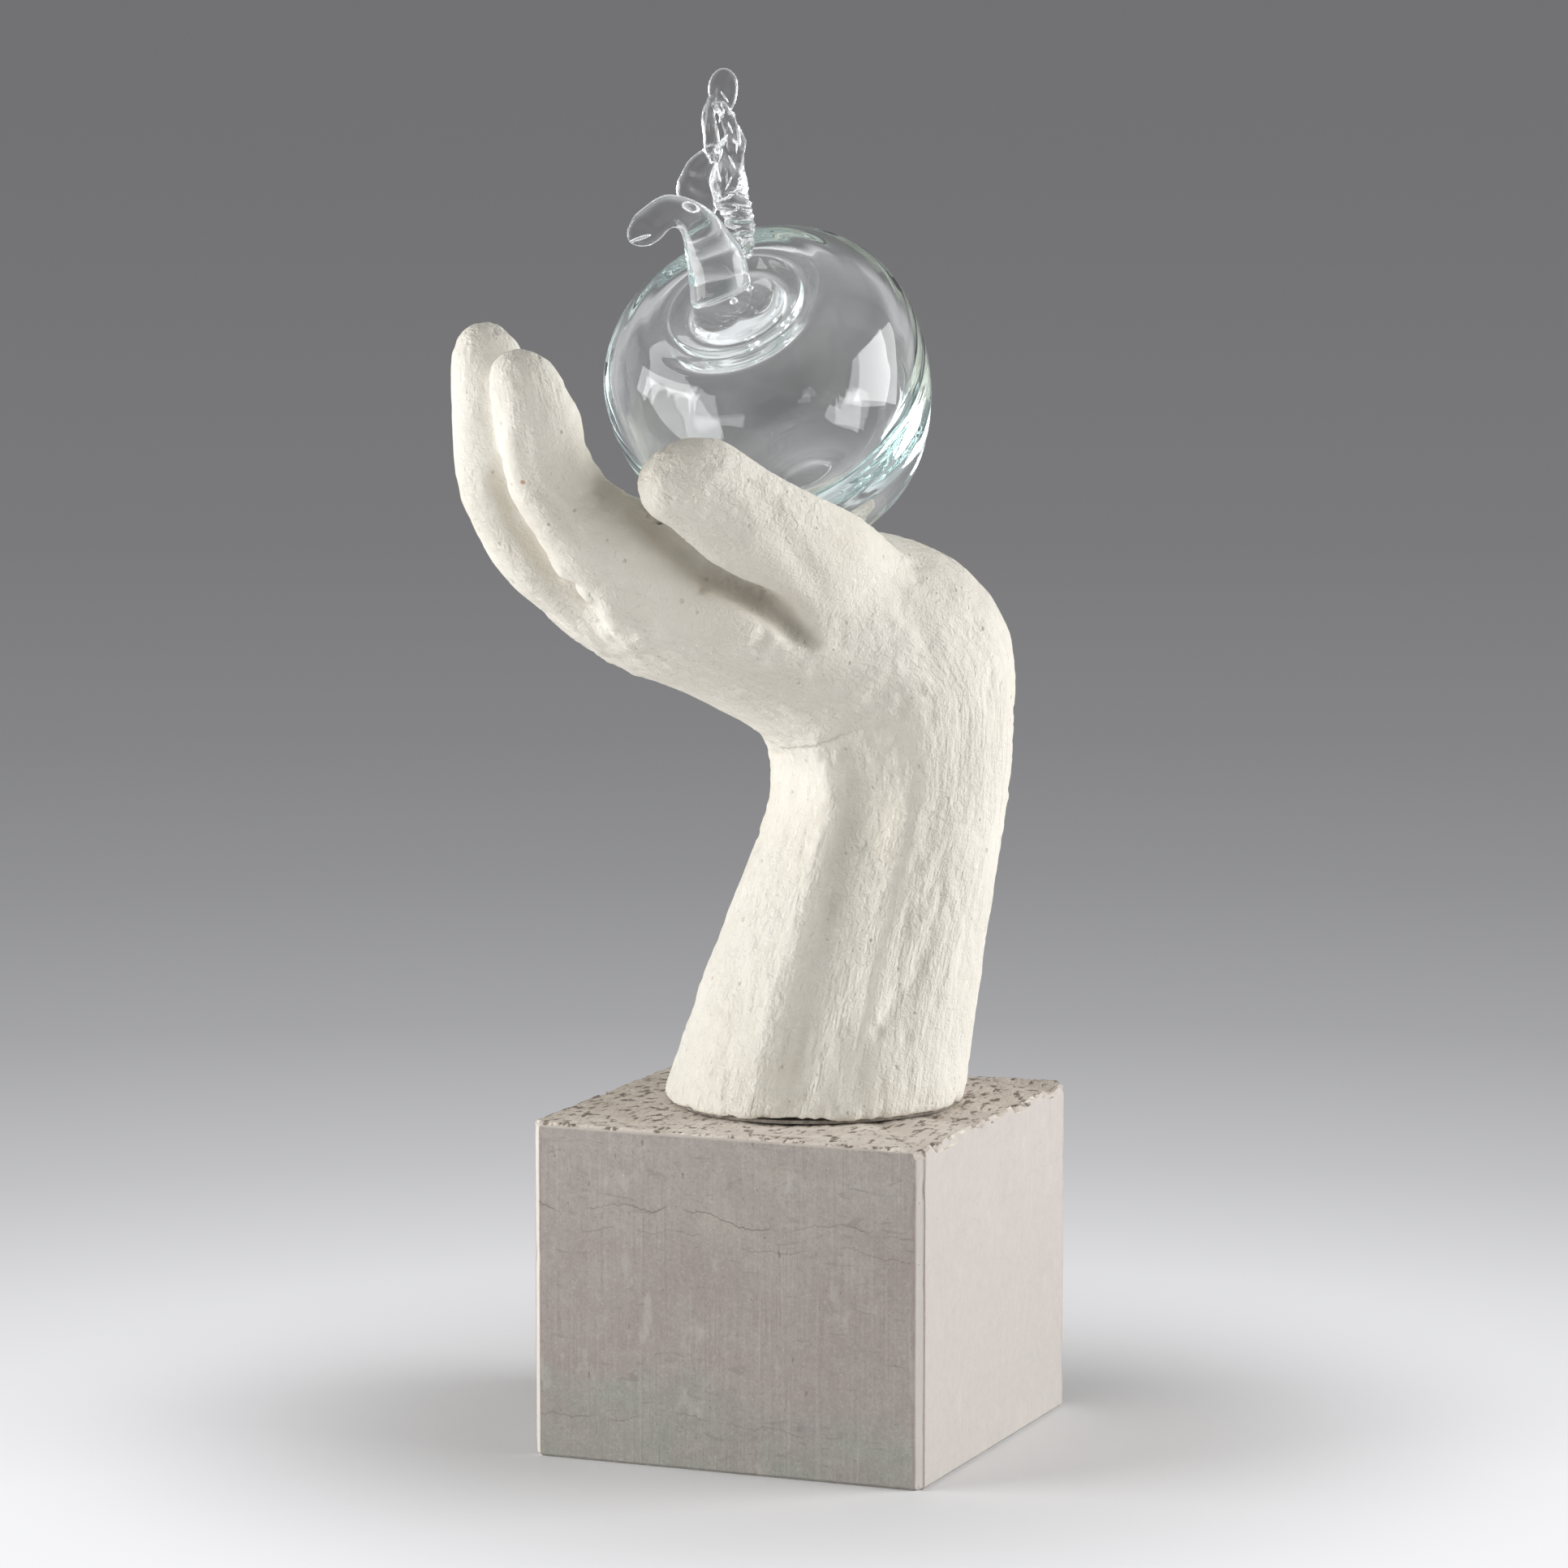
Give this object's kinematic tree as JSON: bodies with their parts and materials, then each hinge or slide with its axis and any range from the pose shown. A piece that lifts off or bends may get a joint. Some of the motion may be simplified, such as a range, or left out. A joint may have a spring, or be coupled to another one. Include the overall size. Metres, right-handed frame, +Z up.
{
  "type": "hand sculpture with glass apple",
  "caption": "White ceramic left hand and forearm, wrist bent back, palm up, with a loose blown clear-glass apple, on a square stone block.",
  "frame": {"origin": "middle of the stone block's underside", "axes": "+Z up; -Y out of the block's front face, the wide one in the picture; +X out of its right face. The fingers point to -X -Y."},
  "size_m": [0.1343, 0.1448, 0.3654],
  "materials": {
    "limestone": "sawn and honed limestone, rough pitted top",
    "mortar": "fine grey bedding mortar",
    "white_ceramic": "unglazed, brushed slip, matte",
    "plaster": "cast plaster, hidden",
    "zinc_steel": "zinc plated",
    "clear_glass": "clear blown glass, polished by fire",
    "green_glass": "thicker clear glass, greenish at the edge"
  },
  "bodies": {
    "sculpture": {"stone_base": "limestone", "bedding_mortar": "mortar", "ceramic_hand": "white_ceramic", "rod_plug": "plaster", "fixing_rod": "zinc_steel", "base_washer": "zinc_steel", "base_nut": "zinc_steel"},
    "apple": {"apple_body": "clear_glass", "base_button": "green_glass", "stem_collar": "green_glass", "apple_stem": "clear_glass", "apple_leaf": "clear_glass"}
  },
  "joints": [
    {"name": "apple_lift", "type": "slide", "parent": "sculpture", "child": "apple", "axis": [0, 0, 1], "range_m": [0, 0.09]}
  ]
}
